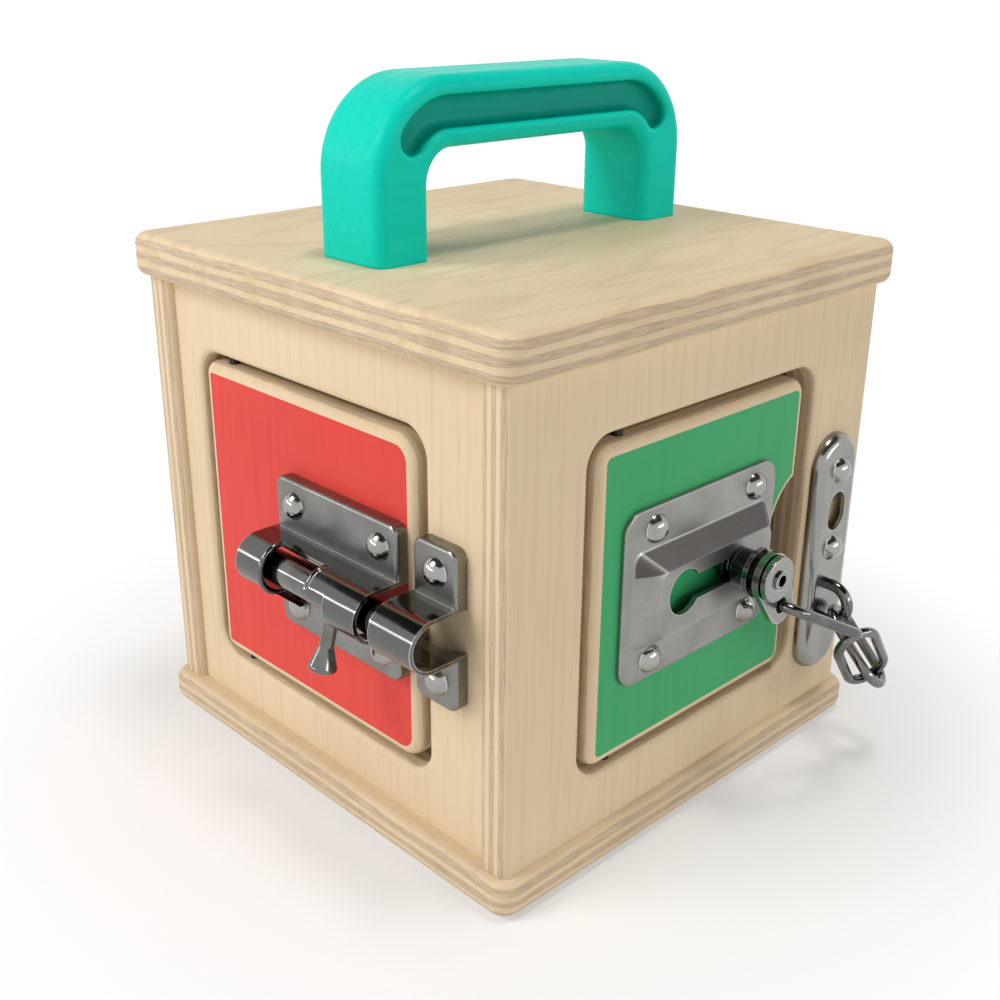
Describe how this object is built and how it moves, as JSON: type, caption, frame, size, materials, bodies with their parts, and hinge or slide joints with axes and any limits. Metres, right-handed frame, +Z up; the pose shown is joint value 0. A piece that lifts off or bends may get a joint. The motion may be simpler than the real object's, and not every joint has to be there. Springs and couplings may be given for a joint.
{
  "type": "toy lock box",
  "caption": "Wooden toy lock box: a plywood cube with a painted door closed by a barrel bolt, another closed by a door chain, and an arched carrying handle on top.",
  "frame": {"origin": "middle of the base plate's underside", "axes": "+Z up, -Y out of the face with the red door and the bolt, +X out of the face with the green door and the chain"},
  "size_m": [0.1858, 0.1738, 0.2021],
  "materials": {
    "birch_plywood": "sanded bare birch plywood, satin",
    "dowel_wood": "bare beech, glued in",
    "turquoise_wood": "turquoise paint, satin",
    "red_wood": "red paint on the face, bare rounded edges",
    "green_wood": "green paint on the face, bare rounded edges",
    "nickel_sheet": "pressed steel with a satin nickel plate",
    "nickel_bar": "turned steel with a satin nickel plate",
    "nickel_wire": "steel wire with a nickel plate",
    "screw_steel": "plated steel, bright",
    "pin_steel": "drawn steel rod"
  },
  "bodies": {
    "box": {"base_plate": "birch_plywood", "top_plate": "birch_plywood", "left_wall": "birch_plywood", "right_wall": "birch_plywood", "front_wall": "birch_plywood", "back_wall": "birch_plywood", "base_dowels": "dowel_wood", "top_dowels": "dowel_wood", "handle": "turquoise_wood", "handle_screws": "screw_steel", "bolt_keeper": "nickel_sheet", "keeper_screws": "screw_steel", "chain_anchor": "nickel_sheet", "anchor_screws": "screw_steel", "chain_staple": "nickel_wire"},
    "red_door": {"red_door": "red_wood", "red_door_pins": "pin_steel", "bolt_plate": "nickel_sheet", "bolt_plate_screws": "screw_steel"},
    "bolt": {"bolt_rod": "nickel_bar", "bolt_handle": "nickel_bar"},
    "green_door": {"green_door": "green_wood", "green_door_pins": "pin_steel", "chain_track": "nickel_sheet", "chain_track_screws": "screw_steel"},
    "chain_slider": {"chain_slider": "nickel_bar", "slider_washer": "nickel_sheet"},
    "chain_hanger": {"chain_hanger": "nickel_sheet"},
    "chain_link_1": {"chain_link_1": "nickel_wire"},
    "chain_link_2": {"chain_link_2": "nickel_wire"},
    "chain_link_3": {"chain_link_3": "nickel_wire"}
  },
  "joints": [
    {"name": "red_door_hinge", "type": "hinge", "parent": "box", "child": "red_door", "pos_m": [-0.0428, -0.0695, 0.075], "axis": [0, 0, -1], "range_deg": [0, 110]},
    {"name": "bolt_slide", "type": "slide", "parent": "red_door", "child": "bolt", "axis": [1, 0, 0], "range_m": [-0.01, 0.009]},
    {"name": "green_door_hinge", "type": "hinge", "parent": "box", "child": "green_door", "pos_m": [0.072, -0.0348, 0.075], "axis": [0, 0, -1], "range_deg": [0, 95]},
    {"name": "chain_slide", "type": "slide", "parent": "green_door", "child": "chain_slider", "axis": [0, -1, 0], "range_m": [0, 0.024]},
    {"name": "hanger_swing", "type": "hinge", "parent": "chain_slider", "child": "chain_hanger", "pos_m": [0.092, 0.008, 0.0755], "axis": [-1, 0, 0], "range_deg": [0, 28]},
    {"name": "link_1_swing", "type": "hinge", "parent": "chain_hanger", "child": "chain_link_1", "pos_m": [0.092, 0.0134, 0.0653], "axis": [-1, 0, 0], "range_deg": [0, 42]},
    {"name": "link_3_swing", "type": "hinge", "parent": "box", "child": "chain_link_3", "pos_m": [0.08313, 0.0592, 0.04437], "axis": [0, 1, 0], "range_deg": [0, 20]},
    {"name": "link_2_swing", "type": "hinge", "parent": "chain_link_3", "child": "chain_link_2", "pos_m": [0.09897, 0.0592, 0.02853], "axis": [0, -1, 0], "range_deg": [0, 10]}
  ]
}
